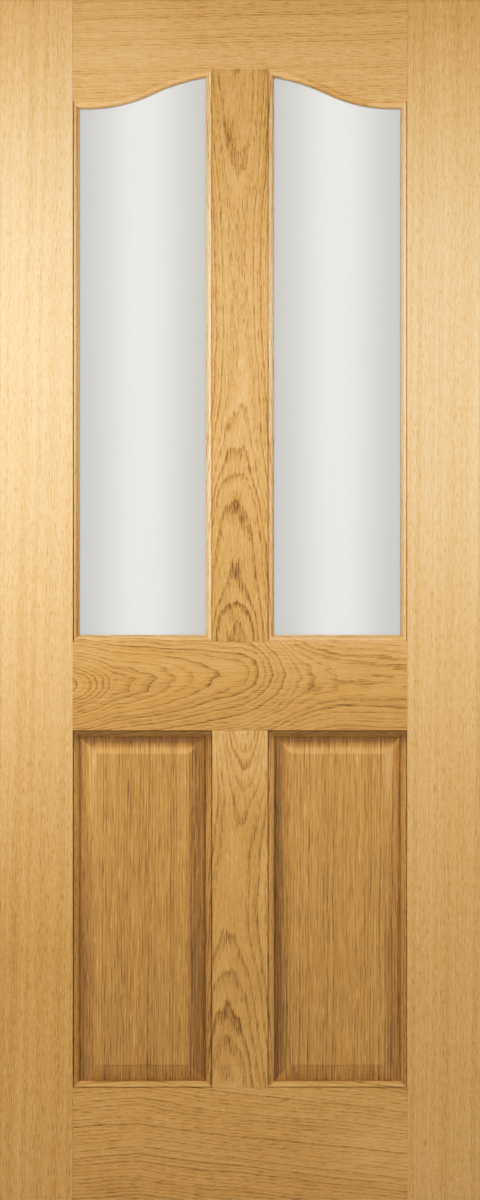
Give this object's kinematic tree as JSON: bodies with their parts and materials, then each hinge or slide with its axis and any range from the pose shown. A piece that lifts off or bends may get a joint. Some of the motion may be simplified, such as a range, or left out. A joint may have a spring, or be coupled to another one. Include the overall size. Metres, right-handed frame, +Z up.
{
  "type": "panelled and glazed door with frame",
  "caption": "Oak door leaf with swept-top satin glazed lights over raised panels, hung on butt hinges in a plain oak lining with stops; swings open on its left edge.",
  "frame": {"origin": "on the floor, under the middle of the door set's overall width and depth", "axes": "+X to the right and +Y away from the viewer who faces the pictured side, +Z up"},
  "size_m": [0.879, 0.1422, 2.07],
  "materials": {
    "light_oak": "satin lacquered oak",
    "mid_oak": "satin lacquered oak",
    "dark_oak": "satin lacquered oak",
    "satin_glass": "acid-etched satin",
    "glazing_foam": "matt foam",
    "beech": "bare beech",
    "satin_steel": "satin plated"
  },
  "bodies": {
    "frame": {"hinge_jamb": "light_oak", "closing_jamb": "light_oak", "head_jamb": "light_oak", "hinge_stop": "light_oak", "closing_stop": "light_oak", "head_stop": "light_oak", "head_screws": "satin_steel", "top_hinge_frame_plate": "satin_steel", "middle_hinge_frame_plate": "satin_steel", "bottom_hinge_frame_plate": "satin_steel", "top_hinge_pin": "satin_steel", "middle_hinge_pin": "satin_steel", "bottom_hinge_pin": "satin_steel", "frame_hinge_screws": "satin_steel"},
    "leaf": {"hinge_stile": "light_oak", "closing_stile": "light_oak", "top_rail": "mid_oak", "lock_rail": "mid_oak", "upper_muntin": "mid_oak", "left_top_bead": "mid_oak", "left_foot_bead": "mid_oak", "left_outer_bead": "mid_oak", "left_inner_bead": "mid_oak", "right_top_bead": "mid_oak", "right_foot_bead": "mid_oak", "right_outer_bead": "mid_oak", "right_inner_bead": "mid_oak", "bottom_rail": "dark_oak", "lower_muntin": "dark_oak", "left_panel": "dark_oak", "right_panel": "dark_oak", "left_glass": "satin_glass", "right_glass": "satin_glass", "left_glazing_tape": "glazing_foam", "right_glazing_tape": "glazing_foam", "setting_blocks": "glazing_foam", "rail_dowels": "beech", "muntin_dowels": "beech", "top_hinge_leaf_plate": "satin_steel", "middle_hinge_leaf_plate": "satin_steel", "bottom_hinge_leaf_plate": "satin_steel", "leaf_hinge_screws": "satin_steel"}
  },
  "joints": [
    {"name": "leaf_swing", "type": "hinge", "parent": "frame", "child": "leaf", "pos_m": [-0.411, -0.06665, 1.02], "axis": [0, 0, -1], "range_deg": [0, 175]}
  ]
}
